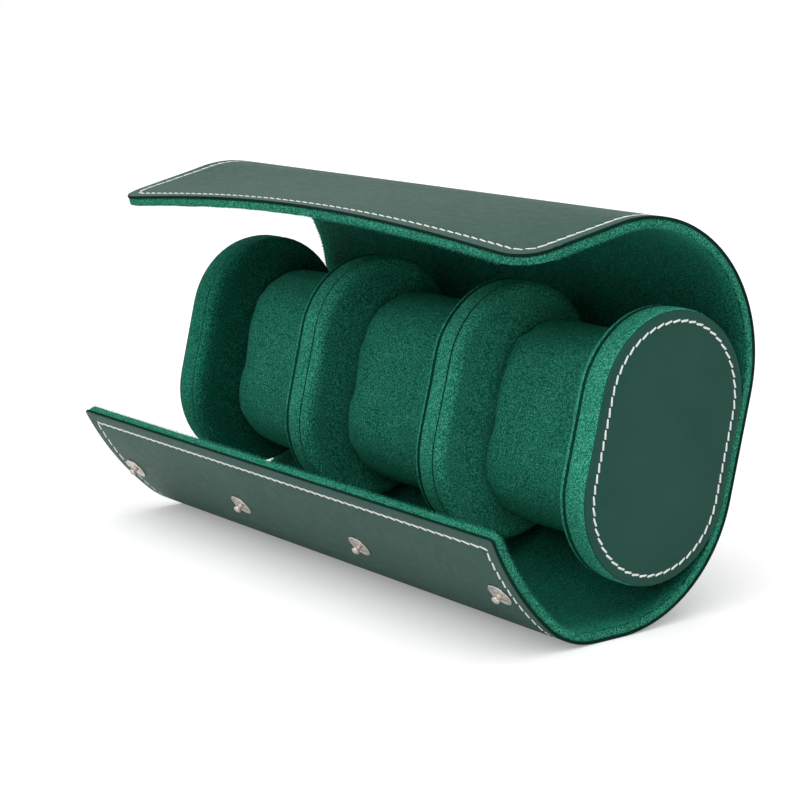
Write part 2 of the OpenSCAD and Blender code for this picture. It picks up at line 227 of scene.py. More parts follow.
def edge_distance(x, s):
    """How far a point of the flat-cut wrap lies inside its outline."""
    half = WRAP_LEN / 2
    corner = FLAP_CORNER if s > 0 else LOW_CORNER
    across = half - abs(x)
    along = TOP_LEN - s if s > 0 else s - LOW_END
    if across < corner and along < corner:
        return corner - math.hypot(corner - across, corner - along)
    return min(across, along)


# ---- materials ----
def new_material(name):
    material = bpy.data.materials.new(name)
    material.use_nodes = True
    nodes = material.node_tree.nodes
    links = material.node_tree.links
    return material, nodes, links, nodes["Principled BSDF"]


def srgb(red, green, blue):
    """A colour given as it looks on screen, from 0 to 255, as the shader's own numbers."""
    def linear(value):
        value /= 255
        return value / 12.92 if value <= 0.04045 else ((value + 0.055) / 1.055) ** 2.4
    return linear(red), linear(green), linear(blue), 1.0


def noise_node(nodes, links, scale, detail, roughness):
    coords = nodes.new("ShaderNodeTexCoord")
    texture = nodes.new("ShaderNodeTexNoise")
    texture.inputs["Scale"].default_value = scale
    texture.inputs["Detail"].default_value = detail
    texture.inputs["Roughness"].default_value = roughness
    links.new(coords.outputs["Object"], texture.inputs["Vector"])
    return texture


def ramp_node(nodes, links, source, stops):
    ramp = nodes.new("ShaderNodeValToRGB")
    while len(ramp.color_ramp.elements) < len(stops):
        ramp.color_ramp.elements.new(0.5)
    for element, (position, colour) in zip(ramp.color_ramp.elements, stops):
        element.position = position
        element.color = colour
    links.new(source, ramp.inputs["Fac"])
    return ramp


def mix_node(nodes, links, blend, factor, first, second):
    mix = nodes.new("ShaderNodeMix")
    mix.data_type = "RGBA"
    mix.blend_type = blend
    mix.inputs["Factor"].default_value = factor
    links.new(first, mix.inputs["A"])
    links.new(second, mix.inputs["B"])
    return mix


def bump_node(nodes, links, height, strength, distance, normal=None):
    bump = nodes.new("ShaderNodeBump")
    bump.inputs["Strength"].default_value = strength
    bump.inputs["Distance"].default_value = distance
    links.new(height, bump.inputs["Height"])
    if normal:
        links.new(normal, bump.inputs["Normal"])
    return bump


def leather_material(name, base, light, roughness, shine=0.35):
    material, nodes, links, shader = new_material(name)
    cloud = noise_node(nodes, links, 45, 4, 0.6)
    tint = ramp_node(nodes, links, cloud.outputs["Fac"], [(0.3, base), (0.75, light)])
    links.new(tint.outputs["Color"], shader.inputs["Base Color"])
    coords = nodes.new("ShaderNodeTexCoord")
    pebble = nodes.new("ShaderNodeTexVoronoi")
    pebble.feature = "SMOOTH_F1"
    pebble.inputs["Scale"].default_value = 1400
    links.new(coords.outputs["Object"], pebble.inputs["Vector"])
    wrinkle = noise_node(nodes, links, 420, 5, 0.65)
    grain = bump_node(nodes, links, pebble.outputs["Distance"], 0.16, 0.0002)
    crease = bump_node(nodes, links, wrinkle.outputs["Fac"], 0.14, 0.0003, grain.outputs["Normal"])
    links.new(crease.outputs["Normal"], shader.inputs["Normal"])
    gloss = ramp_node(nodes, links, wrinkle.outputs["Fac"], [
        (0.3, (roughness - 0.05,) * 3 + (1,)),
        (0.7, (roughness + 0.07,) * 3 + (1,)),
    ])
    links.new(gloss.outputs["Color"], shader.inputs["Roughness"])
    shader.inputs["Specular IOR Level"].default_value = shine
    return material


def suede_material(name, shade, body, light):
    """Napped suede: flecks of three tones and cloudy patches, made lighter as painted light
    where the piece's own attribute for it says so."""
    material, nodes, links, shader = new_material(name)
    nap = noise_node(nodes, links, 2300, 2, 0.65)
    cloud = noise_node(nodes, links, 90, 4, 0.62)
    fleck = ramp_node(nodes, links, nap.outputs["Fac"], [
        (0.39, shade),
        (0.5, body),
        (0.61, light),
    ])
    patch = ramp_node(nodes, links, cloud.outputs["Fac"], [
        (0.30, (0.80, 0.80, 0.80, 1)),
        (0.70, (1, 1, 1, 1)),
    ])
    colour = mix_node(nodes, links, "MULTIPLY", 1.0, fleck.outputs["Color"], patch.outputs["Color"])
    # Painted light: the colour is made lighter where the attribute says, along lit rims and cut edges
    zone = nodes.new("ShaderNodeAttribute")
    zone.attribute_name = "brushed"
    painted_light_gain = ramp_node(nodes, links, zone.outputs["Fac"], [
        (0, (1, 1, 1, 1)),
        (1, (2.1, 1.7, 1.75, 1)),
    ])
    with_painted_light = mix_node(nodes, links, "MULTIPLY", 1.0, colour.outputs["Result"], painted_light_gain.outputs["Color"])
    links.new(with_painted_light.outputs["Result"], shader.inputs["Base Color"])
    pile = bump_node(nodes, links, nap.outputs["Fac"], 0.6, 0.0005)
    links.new(pile.outputs["Normal"], shader.inputs["Normal"])
    shader.inputs["Roughness"].default_value = 0.95
    shader.inputs["Specular IOR Level"].default_value = 0.1
    shader.inputs["Sheen Weight"].default_value = 0.2
    shader.inputs["Sheen Roughness"].default_value = 0.45
    shader.inputs["Sheen Tint"].default_value = srgb(60, 200, 155)
    return material


def thread_material():
    material, nodes, links, shader = new_material("thread_white")
    twist = noise_node(nodes, links, 2600, 2, 0.5)
    tint = ramp_node(nodes, links, twist.outputs["Fac"], [
        (0.3, srgb(226, 230, 226)),
        (0.7, srgb(252, 253, 250)),
    ])
    links.new(tint.outputs["Color"], shader.inputs["Base Color"])
    strands = bump_node(nodes, links, twist.outputs["Fac"], 0.4, 0.0001)
    links.new(strands.outputs["Normal"], shader.inputs["Normal"])
    shader.inputs["Roughness"].default_value = 0.7
    return material


def nickel_material():
    material, nodes, links, shader = new_material("nickel")
    wear = noise_node(nodes, links, 900, 4, 0.6)
    tint = ramp_node(nodes, links, wear.outputs["Fac"], [
        (0.3, srgb(196, 184, 178)),
        (0.7, srgb(236, 228, 222)),
    ])
    links.new(tint.outputs["Color"], shader.inputs["Base Color"])
    gloss = ramp_node(nodes, links, wear.outputs["Fac"], [
        (0.3, (0.18, 0.18, 0.18, 1)),
        (0.7, (0.34, 0.34, 0.34, 1)),
    ])
    links.new(gloss.outputs["Color"], shader.inputs["Roughness"])
    shader.inputs["Metallic"].default_value = 1.0
    return material


LEATHER = leather_material("leather_green", srgb(29, 75, 63), srgb(37, 84, 72), 0.46)
CAP_LEATHER = leather_material("leather_cap", srgb(30, 74, 63), srgb(36, 82, 71), 0.46, 0.12)
LEATHER_EDGE = leather_material("leather_edge", srgb(12, 40, 32), srgb(18, 50, 41), 0.9, 0.05)
SUEDE = suede_material("suede_green", srgb(8, 90, 70), srgb(32, 126, 103), srgb(72, 172, 144))
# A lighter copy of the suede, painted light, for the covers on the right and for the fringe
SUEDE_PAINTED_LIGHT = suede_material("suede_pad", srgb(12, 106, 82), srgb(42, 144, 117), srgb(88, 190, 160))
# A darker copy of the suede, painted shade, for the wrap's lining and the left cap
SUEDE_PAINTED_SHADE = suede_material("suede_lining", srgb(3, 62, 48), srgb(13, 90, 71), srgb(36, 126, 102))
# A lighter copy of the lining's suede for its cut edges, a painted highlight
SUEDE_PAINTED_EDGE_LIGHT = suede_material("suede_rim", srgb(5, 66, 50), srgb(20, 96, 76), srgb(52, 136, 110))
# The darkest copy of the suede, painted shade in the grooves of the seams
SEAM_PAINTED_SHADE = suede_material("suede_seam", srgb(3, 48, 37), srgb(7, 62, 49), srgb(13, 76, 61))
BOARD = leather_material("board_grey", srgb(120, 118, 110), srgb(140, 138, 130), 0.85)
FOAM = leather_material("foam_white", srgb(218, 216, 206), srgb(232, 230, 222), 0.9)
THREAD = thread_material()
NICKEL = nickel_material()


# ---- mesh helpers ----
def finish_piece(bm, name, materials, smooth=True):
    mesh = bpy.data.meshes.new(name)
    for face in bm.faces:
        face.smooth = smooth
    bm.to_mesh(mesh)
    bm.free()
    for material in materials:
        mesh.materials.append(material)
    piece = bpy.data.objects.new(name, mesh)
    bpy.context.scene.collection.objects.link(piece)
    return piece


def even_stops(first, last, step):
    count = max(1, round(abs(last - first) / step))
    return [first + (last - first) * i / count for i in range(count + 1)]


# How far in from its cut edges the lining is lightened: painted light at the edges, painted shade further in
PAINTED_RIM_LIGHT_W = 5 * MM

# Distances from a cut edge at which a sheet has a line of vertices
EDGE_STOPS = [
    0, 0.3 * MM, 1.0 * MM, 2.2 * MM, 3.3 * MM, 3.7 * MM, 4.0 * MM, 4.3 * MM, 4.7 * MM, 6 * MM,
]
SPLIT_STOP = 0.15 * MM
ROW_STEP = 1.6 * MM
COLUMN_STEP = 3 * MM
SAME_SPOT = 1e-7
WELD = 1e-6


def column_stops():
    half = WRAP_LEN / 2
    inner = even_stops(-half + EDGE_STOPS[-1], half - EDGE_STOPS[-1], COLUMN_STEP)
    near_edge = EDGE_STOPS[:-1]
    return [-half + d for d in near_edge] + inner + [half - d for d in reversed(near_edge)]


def row_stops(s0, s1):
    """Rows of a sheet: dense at a free edge, with one short row where two sheets meet."""
    low_stops = EDGE_STOPS if s0 == LOW_END else [0, SPLIT_STOP]
    top_stops = EDGE_STOPS if s1 == TOP_LEN else [0, SPLIT_STOP]
    inner = even_stops(s0 + low_stops[-1], s1 - top_stops[-1], ROW_STEP)
    return [s0 + d for d in low_stops[:-1]] + inner + [s1 - d for d in reversed(top_stops[:-1])]


def rounded(x, s):
    """Moves a point of the flat-cut wrap inwards where a corner is rounded off."""
    half = WRAP_LEN / 2
    corner = FLAP_CORNER if s > 0 else LOW_CORNER
    free = TOP_LEN if s > 0 else LOW_END
    outward = 1 if s > 0 else -1
    across = (abs(x) - (half - corner)) / corner
    along = outward * (s - (free - outward * corner)) / corner
    if across <= 0 or along <= 0:
        return x, s
    new_across = across * math.sqrt(max(0, 1 - along * along / 2))
    new_along = along * math.sqrt(max(0, 1 - across * across / 2))
    new_x = math.copysign(half - corner + new_across * corner, x)
    return new_x, free - outward * corner + outward * new_along * corner


def wrap_sheet(name, s0, s1, near, far, margin, edge_round, shape, materials):
    """A layer of the wrap between s0 and s1, cut flat and rolled into place. margin is how far
    its free edges stand back, and shape(x, s, depth) gives each point's final depth."""
    columns = column_stops()
    rows = row_stops(s0, s1)
    bm = bmesh.new()
    bmesh.ops.create_grid(bm, x_segments=len(columns) - 1, y_segments=len(rows) - 1, size=0.5)
    half = WRAP_LEN / 2
    for vert in bm.verts:
        x = columns[round((vert.co.x + 0.5) * (len(columns) - 1))]
        s = rows[round((vert.co.y + 0.5) * (len(rows) - 1))]
        x, s = rounded(x, s)
        x *= (half - margin) / half
        if s1 == TOP_LEN and s > s1 - FLAP_CORNER:
            s -= margin * (s - s1 + FLAP_CORNER) / FLAP_CORNER
        if s0 == LOW_END and s < s0 + FLAP_CORNER:
            s += margin * (s0 + FLAP_CORNER - s) / FLAP_CORNER
        vert.co = (x, s, near)
    wall = bmesh.ops.extrude_face_region(bm, geom=bm.faces[:])
    for item in wall["geom"]:
        if isinstance(item, bmesh.types.BMVert):
            item.co.z = far
    bmesh.ops.recalc_face_normals(bm, faces=bm.faces)
    splits = [s for s in (s0, s1) if s not in (LOW_END, TOP_LEN)]

    def on_split(edge):
        return any(all(abs(v.co.y - s) < SAME_SPOT for v in edge.verts) for s in splits)

    cut = [face for face in bm.faces if abs(face.normal.z) < 0.5]
    for face in cut:
        face.material_index = 1
    rims = {
        edge for face in cut for edge in face.edges
        if abs(edge.verts[0].co.z - edge.verts[1].co.z) < SAME_SPOT
    }
    for edge in rims:
        if on_split(edge):
            edge.smooth = False
    soft = [edge for edge in rims if not on_split(edge)]
    bmesh.ops.bevel(
        bm, geom=soft, offset=edge_round, segments=2, affect="EDGES", profile=0.5, material=1
    )
    # Painted light, which only the lining's suede shows: lighter near the cut edges, darker further in
    brushed = bm.verts.layers.float.new("brushed")
    for vert in bm.verts:
        x, s, depth = vert.co
        vert[brushed] = math.exp(-((max(0, edge_distance(x, s)) / PAINTED_RIM_LIGHT_W) ** 2))
        vert.co = on_wrap(x, s, shape(x, s, depth))
    bmesh.ops.recalc_face_normals(bm, faces=bm.faces)
    return finish_piece(bm, name, materials)


def leather_shape(x, s, depth):
    """Leather sinks into a shallow groove along its stitching."""
    if depth > LEATHER_T / 2:
        return depth
    off_line = (edge_distance(x, s) - STITCH_INSET) / GROOVE_W
    return depth + GROOVE_DEPTH * math.exp(-off_line * off_line)


# How much the lining's face ripples at its cut edge and how far in, and how much it swells all over
RIPPLE = 0.32 * MM
RIPPLE_REACH = 1.2 * MM
SWELL = 0.12 * MM


def lining_shape(x, s, depth):
    """Suede is a little uneven, and rougher along its cut edge."""
    if depth <= LEATHER_T * 1.1:
        return depth
    rough = RIPPLE * math.exp(-edge_distance(x, s) / RIPPLE_REACH)
    ripple = noise.noise(Vector((x, s, 0)) * 900)
    swell = noise.noise(Vector((x, s, 7)) * 60)
    return depth + (rough * ripple + SWELL * swell)


# Each part of the wrap bends across one fold: its name, where it starts and ends along the
# wrap, its two bodies, and where the fold is
HEEL_SPLIT = -FLAT_BACK - 35 * MM
BACK_SPLIT = -FLAT_BACK / 2
REAR_SPLIT = 28 * MM
FRONT_SPLIT = 71 * MM
PARTS = [
    ("low_flap", LOW_END, HEEL_SPLIT, "low_flap", "heel", -FLAT_BACK - TOE_FOLD_AT),
    ("heel", HEEL_SPLIT, BACK_SPLIT, "heel", "case", -FLAT_BACK - HEEL_FOLD),
    ("wrap_back", BACK_SPLIT, REAR_SPLIT, "case", "crown_rear", BACK_FOLD),
    ("crown", REAR_SPLIT, FRONT_SPLIT, "crown_rear", "crown_front", CROWN_FOLD),
    ("top_flap", FRONT_SPLIT, TOP_LEN, "crown_front", "top_flap", FLAP_FOLD),
]
# The panels of the solids whose layers each part stands for
STANDS_FOR = {
    "low_flap": ["low_flap"],
    "heel": ["heel"],
    "wrap_back": ["wrap_back"],
    "crown": ["crown_rear", "crown_front"],
    "top_flap": ["top_flap"],
}


def bend(piece, part):
    """Lets a piece of the wrap follow its fold. The top flap's hanging ends are already
    partly turned, so they follow the fold by that much less and lie flat when it is shut."""
    name, s0, s1, before, after, fold = part
    start = on_wrap(LEVEL_X, fold - FOLD_REACH, WRAP_T / 2)
    end = on_wrap(LEVEL_X, fold + FOLD_REACH, WRAP_T / 2)
    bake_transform(piece, before, after, start=start, end=end)
    if name == "top_flap":
        for vert, share in zip(piece.data.vertices, piece.data.attributes["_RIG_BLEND"].data):
            share.value *= 1 - bow(vert.co.x) / FLAP_SHUT_TURN


def make_wrap():
    for part in PARTS:
        name, s0, s1 = part[:3]
        leather = wrap_sheet(
            f"{name}_leather_sheet", s0, s1, 0, LEATHER_T, margin=0, edge_round=0.3 * MM,
            shape=leather_shape, materials=[LEATHER, LEATHER_EDGE],
        )
        # The lining takes the darker copy of the suede, painted shade, and its cut edge a lighter copy, a
        # painted highlight
        lining = wrap_sheet(
            f"{name}_lining_sheet", s0, s1, LEATHER_T, WRAP_T, margin=0.2 * MM,
            edge_round=0.5 * MM, shape=lining_shape, materials=[SUEDE_PAINTED_SHADE, SUEDE_PAINTED_EDGE_LIGHT],
        )
        panels = STANDS_FOR[name]
        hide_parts(*[f"{panel}_leather" for panel in panels])
        hidden = [f"{panel}_{layer}" for panel in panels for layer in ("lining", "board")]
        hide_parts(*hidden)
        bend(leather, part)
        bend(lining, part)


# ---- fringe ----
FRINGE_STEP = 0.3 * MM
FRINGE_INSET = 0.45 * MM
BLADE_HALF_W = 0.12 * MM


def add_blade(bm, root, way, side, seed):
    """One fibre of the suede's cut edge, a thin upright triangle."""
    lean = noise.noise(Vector((seed * 0.37, 0, 3)))
    tall = (1.0 + 0.8 * noise.noise(Vector((seed * 0.61, 5, 0)))) * MM
    tip = root + side * tall + way * lean * tall
    corners = (root - way * BLADE_HALF_W, root + way * BLADE_HALF_W, tip)
    bm.faces.new([bm.verts.new(corner) for corner in corners])


def make_fringe():
    """Short fibres that stand up from the lining's face along its cut edges."""
    half = WRAP_LEN / 2
    seed = 0
    for part in PARTS:
        name, s0, s1 = part[:3]
        low = s0 + (LOW_CORNER if s0 == LOW_END else 0)
        high = s1 - (FLAP_CORNER if s1 == TOP_LEN else 0)
        ends = even_stops(low, high, FRINGE_STEP)
        spots = [(side * (half - FRINGE_INSET), s) for side in (-1, 1) for s in ends]
        free_edges = (
            (LOW_END + FRINGE_INSET, LOW_CORNER),
            (TOP_LEN - FRINGE_INSET, FLAP_CORNER),
        )
        for s, inset in free_edges:
            if s0 <= s <= s1:
                spots += [(x, s) for x in even_stops(inset - half, half - inset, FRINGE_STEP)]
        bm = bmesh.new()
        for x, s in spots:
            seed += 1
            depth = WRAP_T - 0.3 * MM + 0.25 * MM * noise.noise(Vector((seed * 0.83, 0, 0)))
            point, tangent, inward = wrap_frame(x, s)
            if abs(x) > half - MM:
                way, outward = tangent, Vector((math.copysign(1, x), 0, 0))
            else:
                way, outward = Vector((1, 0, 0)), tangent * math.copysign(1, s)
            side = (inward * 0.6 + outward).normalized()
            add_blade(bm, point + inward * depth, way, side, seed)
        # The fibres take the lighter copy of the suede, painted light
        fringe = finish_piece(bm, f"{name}_fringe", [SUEDE_PAINTED_LIGHT])
        bend(fringe, part)


# ---- stitching ----
def add_stitch(bm, pitch, place):
    """One stitch, a short plump length of thread that dips at both ends. place turns
    (along, across, out) in metres into a point."""
    made = bmesh.ops.create_uvsphere(bm, u_segments=6, v_segments=5, radius=THREAD_D / 2)
    length = pitch * STITCH_FILL
    reach = (length - THREAD_D) / 2
    for vert in made["verts"]:
        out, across, along = vert.co
        along += math.copysign(reach, along) if abs(along) > 1e-9 else 0
        across += along * STITCH_TILT
        out *= THREAD_FLAT
        out += THREAD_D * (0.22 - 0.55 * (2 * along / length) ** 2)
        vert.co = place(along, across, out)


def border_path():
    """The stitch line on the flat-cut wrap, as lines of (kind, start, end, length) and arcs of
    (kind, centre, start angle, length)."""
    side = WRAP_LEN / 2 - STITCH_INSET
    top = TOP_LEN - STITCH_INSET
    low = LOW_END + STITCH_INSET
    corner = FLAP_CORNER - STITCH_INSET
    turn = corner * QUARTER
    return [
        ("line", Vector((-side, low)), Vector((side, low)), 2 * side),
        ("line", Vector((side, low)), Vector((side, top - corner)), top - corner - low),
        ("arc", Vector((side - corner, top - corner)), 0.0, turn),
        ("line", Vector((side - corner, top)), Vector((corner - side, top)), 2 * (side - corner)),
        ("arc", Vector((corner - side, top - corner)), QUARTER, turn),
        ("line", Vector((-side, top - corner)), Vector((-side, low)), top - corner - low),
    ]


def border_point(dist):
    corner = FLAP_CORNER - STITCH_INSET
    for kind, first, second, length in border_path():
        if dist > length:
            dist -= length
            continue
        if kind == "line":
            way = (second - first).normalized()
            return first + way * dist, way
        angle = second + dist / corner
        spot = first + Vector((math.cos(angle), math.sin(angle))) * corner
        return spot, Vector((-math.sin(angle), math.cos(angle)))
    return first, Vector((1, 0))


def make_wrap_stitches():
    total = sum(run[3] for run in border_path())
    count = round(total / STITCH_PITCH)
    groups = {part[0]: bmesh.new() for part in PARTS}
    for i in range(count):
        spot, way = border_point((i + 0.5) * total / count)
        part = next(p for p in PARTS if spot.y <= p[2])
        side = Vector((-way.y, way.x))

        def place(along, across, out):
            flat = spot + way * along + side * across
            return on_wrap(flat.x, flat.y, STITCH_SUNK - out)

        add_stitch(groups[part[0]], total / count, place)
    for part in PARTS:
        bmesh.ops.recalc_face_normals(groups[part[0]], faces=groups[part[0]].faces)
        stitches = finish_piece(groups[part[0]], f"{part[0]}_stitches", [THREAD])
        bend(stitches, part)


# ---- plates and pillows: sections swept round a stadium ----
def stadium_sweep(bm, section, half_straight, straight_steps=8, arc_steps=28):
    """Sweeps a section of (x, radius) points round an upright stadium, in the plates' frame."""
    verts = [bm.verts.new((x, radius, -half_straight)) for x, radius in section]
    geom = verts + [bm.edges.new(pair) for pair in zip(verts, verts[1:])]
    rise = 2 * half_straight / straight_steps
    for turn_at, step in ((half_straight, rise), (-half_straight, -rise)):
        run = bmesh.ops.spin(
            bm, geom=geom, cent=(0, 0, 0), axis=(1, 0, 0), dvec=(0, 0, step), angle=0,
            steps=straight_steps,
        )
        run = bmesh.ops.spin(
            bm, geom=run["geom_last"], cent=(0, 0, turn_at), axis=(1, 0, 0), dvec=(0, 0, 0),
            angle=math.pi, steps=arc_steps,
        )
        geom = run["geom_last"]
    bmesh.ops.remove_doubles(bm, verts=bm.verts, dist=WELD)
    bmesh.ops.recalc_face_normals(bm, faces=bm.faces)


# How much of a padded face's height its shoulder takes
SHOULDER_RISE = 0.86


def dome_section(x_edge, x_top, radius, edge_radius, steps=10):
    """Half of a padded face from its seam in to its middle: a round shoulder, then a low dome.
    x_edge is where its seam lies and x_top is the face's highest point."""
    face = math.copysign(1, x_top - x_edge)
    height = abs(x_top - x_edge)
    points = []
    for i in range(steps + 1):
        angle = QUARTER * i / steps
        out = radius - edge_radius + edge_radius * math.cos(angle)
        points.append((x_edge + face * height * SHOULDER_RISE * math.sin(angle) ** 0.8, out))
    inner = radius - edge_radius
    for i in range(1, steps + 1):
        share = i / steps
        rise = SHOULDER_RISE + (1 - SHOULDER_RISE) * math.sin(QUARTER * share)
        points.append((x_edge + face * height * rise, inner * (1 - share)))
    return points


SEAM_DEPTH = 0.55 * MM
SEAM_W = 0.9 * MM
SHOULDER = 3 * MM
BAND_STEPS = 8

# How far left of the band's ends in the solids a divider's two seams are drawn
LEFT_SEAM_SHIFT = 0.5 * MM
RIGHT_SEAM_SHIFT = 0.75 * MM

# How far stuffing pushes a cover or a pillow in and out, and how fine its lumps are
PLATE_LUMPS = (0.22 * MM, 70)
PILLOW_LUMPS = (0.25 * MM, 55)

# Where a cover's painted rim light starts, in from its edge, and over how far it grows
RIM_START = 5 * MM
RIM_GROWTH = 4 * MM

# Each cover's suede and how much painted light its rim gets. The covers on the left take darker suede than
# those on the right: painted shade on the left, painted light on the right.
PLATE_LOOKS = {
    "left_cap": (SUEDE_PAINTED_SHADE, 0.75),
    "left_divider": (SUEDE, 0.35),
    "right_divider": (SUEDE_PAINTED_LIGHT, 0.0),
    "right_cap": (SUEDE_PAINTED_LIGHT, 0.0),
}


def band_section(x0, x1, radius, crown):
    """The band between two seams, a little proud in its middle."""
    points = []
    for i in range(BAND_STEPS + 1):
        share = i / BAND_STEPS
        x = x0 + (x1 - x0) * share
        points.append((x, radius - crown * (2 * share - 1) ** 4))
    return points


def soften(bm, amount, scale, seed):
    """Pushes a padded surface in and out a little, as stuffing does."""
    bm.normal_update()
    for vert in bm.verts:
        lump = noise.noise(vert.co * scale + Vector((seed, 0, 0)))
        vert.co += vert.normal * amount * lump


def plate_piece(name, section, seams, suede, rim, seed, nodes):
    """A sewn cover, with painted shade in the grooves of its seams. rim is how much painted light its rim
    gets.
    """
    bm = bmesh.new()
    stadium_sweep(bm, section, PLATE_HALF)
    # Painted light: the cover's rim is made lighter than its shaded face
    brushed = bm.verts.layers.float.new("brushed")
    for vert in bm.verts:
        out = math.hypot(vert.co.y, max(0, abs(vert.co.z) - PLATE_HALF))
        vert[brushed] = rim * min(1, max(0, (out - PLATE_W / 2 + RIM_START) / RIM_GROWTH))
    # Faces in a seam's groove take the darkest suede, painted shade
    for face in bm.faces:
        x = face.calc_center_median().x
        face.material_index = 1 if any(abs(x - seam) < SEAM_W / 2 for seam in seams) else 0
    soften(bm, *PLATE_LUMPS, seed)
    bmesh.ops.transform(bm, matrix=PLATES, verts=bm.verts)
    piece = finish_piece(bm, name, [suede, SEAM_PAINTED_SHADE])
    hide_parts(*nodes)
    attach(piece, "case")


def x_span(node):
    low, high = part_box(node)
    return low.x, high.x


def make_divider(side):
    x0, x1 = x_span(f"{side}_divider_band")
    x0 -= LEFT_SEAM_SHIFT
    x1 -= RIGHT_SEAM_SHIFT
    left = x_span(f"{side}_divider_pad_left")[0]
    right = x_span(f"{side}_divider_pad_right")[1]
    radius = PLATE_W / 2
    section = list(reversed(dome_section(x0 - SEAM_W / 2, left, radius, SHOULDER)))
    section.append((x0, radius - SEAM_DEPTH))
    section += band_section(x0 + SEAM_W / 2, x1 - SEAM_W / 2, radius, 0.25 * MM)
    section.append((x1, radius - SEAM_DEPTH))
    section += dome_section(x1 + SEAM_W / 2, right, radius, SHOULDER)
    name = f"{side}_divider"
    nodes = [f"{name}_{part}" for part in ("band", "pad_left", "pad_right")]
    plate_piece(f"{name}_cover", section, [x0, x1], *PLATE_LOOKS[name], len(side), nodes)


# The leather that faces a cap rises by CAP_RISE from its edge inwards. Over how far it rises, and
# how far in from its edge its face has lines of vertices, are in millimetres.
CAP_RISE = 0.45 * MM
CAP_RISE_OVER = 12
CAP_STOPS = (1.2, 2.2, 2.8, 3.1, 3.3, 3.5, 3.9, 4.6, 6.5, 10, 15, 20)
CAP_LEATHER_R = PLATE_W / 2 - 0.35 * MM
CAP_LEATHER_EDGE = 0.5 * MM


def make_cap_cover(side, face, outer, inner):
    """The suede of a cap. face is the side, -1 or 1, that its leather looks to."""
    pad = x_span(f"{side}_cap_pad")
    top = pad[1] if face < 0 else pad[0]
    radius = PLATE_W / 2
    lip = 0.6 * MM
    section = [(outer, 0), (outer, radius - 2 * MM), (outer + face * lip * 0.6, radius - 1.2 * MM)]
    section.append((outer + face * lip, radius - 0.6 * MM))
    section += band_section(
        outer + face * lip * 0.5, inner + face * SEAM_W / 2, radius, 0.3 * MM
    )
    section.append((inner, radius - SEAM_DEPTH))
    section += dome_section(inner - face * SEAM_W / 2, top, radius, SHOULDER)
    name = f"{side}_cap"
    nodes = [f"{name}_{part}" for part in ("band", "pad")]
    plate_piece(f"{name}_cover", section, [inner], *PLATE_LOOKS[name], 3 + face, nodes)


def make_cap_leather(side, face, outer, end, edge_x):
    """The leather of a cap's face, with a groove for its stitches."""
    section = [(outer, 0), (outer, CAP_LEATHER_R - 0.2 * MM)]
    for i in range(5):
        angle = QUARTER * i / 4
        section.append((
            edge_x - face * CAP_LEATHER_EDGE * (1 - math.sin(angle)),
            CAP_LEATHER_R - CAP_LEATHER_EDGE * (1 - math.cos(angle)),
        ))
    for inset in CAP_STOPS:
        groove = math.exp(-(((inset * MM - CAP_STITCH_INSET) / GROOVE_W) ** 2))
        rise = CAP_RISE * min(1, inset / CAP_RISE_OVER) ** 0.6
        section.append((edge_x + face * (rise - GROOVE_DEPTH * groove), CAP_LEATHER_R - inset * MM))
    section.append((end, 0))
    bm = bmesh.new()
    stadium_sweep(bm, section, PLATE_HALF)
    bmesh.ops.transform(bm, matrix=PLATES, verts=bm.verts)
    leather = finish_piece(bm, f"{side}_cap_leather", [CAP_LEATHER])
    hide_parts(f"{side}_cap_facing")
    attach(leather, "case")


def make_cap_stitches(side, face, edge_x):
    stitch_r = CAP_LEATHER_R - CAP_STITCH_INSET
    total = 4 * PLATE_HALF + 2 * math.pi * stitch_r
    count = round(total / CAP_STITCH_PITCH)
    height = CAP_RISE * (CAP_STITCH_INSET / (CAP_RISE_OVER * MM)) ** 0.6 - STITCH_SUNK
    bm = bmesh.new()
    for i in range(count):
        spot, way = stadium_point(i * total / count, stitch_r)
        side_way = Vector((-way.y, way.x))

        def place(along, across, out):
            flat = spot + way * along + side_way * across
            return PLATES @ Vector((edge_x + face * (height + out), flat.x, flat.y))

        add_stitch(bm, total / count, place)
    bmesh.ops.recalc_face_normals(bm, faces=bm.faces)
    stitches = finish_piece(bm, f"{side}_cap_stitches", [THREAD])
    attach(stitches, "case")


def make_cap(side):
    face = -1 if side == "left" else 1
    band = x_span(f"{side}_cap_band")
    facing = x_span(f"{side}_cap_facing")
    outer, inner = band if face < 0 else reversed(band)
    end = facing[0] if face < 0 else facing[1]
    edge_x = end - face * CAP_RISE
    make_cap_cover(side, face, outer, inner)
    make_cap_leather(side, face, outer, end, edge_x)
    make_cap_stitches(side, face, edge_x)


def stadium_point(dist, radius):
    """A point and its direction round a stadium of the plates' proportions, in (across, up)."""
    straight = 2 * PLATE_HALF
    turn = math.pi * radius
    if dist < straight:
        return Vector((radius, -PLATE_HALF + dist)), Vector((0, 1))
    dist -= straight
    if dist < turn:
        angle = dist / radius
        spot = Vector((radius * math.cos(angle), PLATE_HALF + radius * math.sin(angle)))
        return spot, Vector((-math.sin(angle), math.cos(angle)))
    dist -= turn
    if dist < straight:
        return Vector((-radius, PLATE_HALF - dist)), Vector((0, -1))
    angle = math.pi + (dist - straight) / radius
    spot = Vector((radius * math.cos(angle), -PLATE_HALF + radius * math.sin(angle)))
    return spot, Vector((-math.sin(angle), math.cos(angle)))


# ---- pillows ----
PILLOW_HALF = (PILLOW_H - PILLOW_W) / 2
PILLOW_CROWN = 0.5 * MM
PILLOW_ROUND = 1.8 * MM
PILLOW_STEPS = 22

CLOTH_FRAMES = 20

# How far the cloth simulation may move a point
PILLOW_PUFF = 0.6 * MM


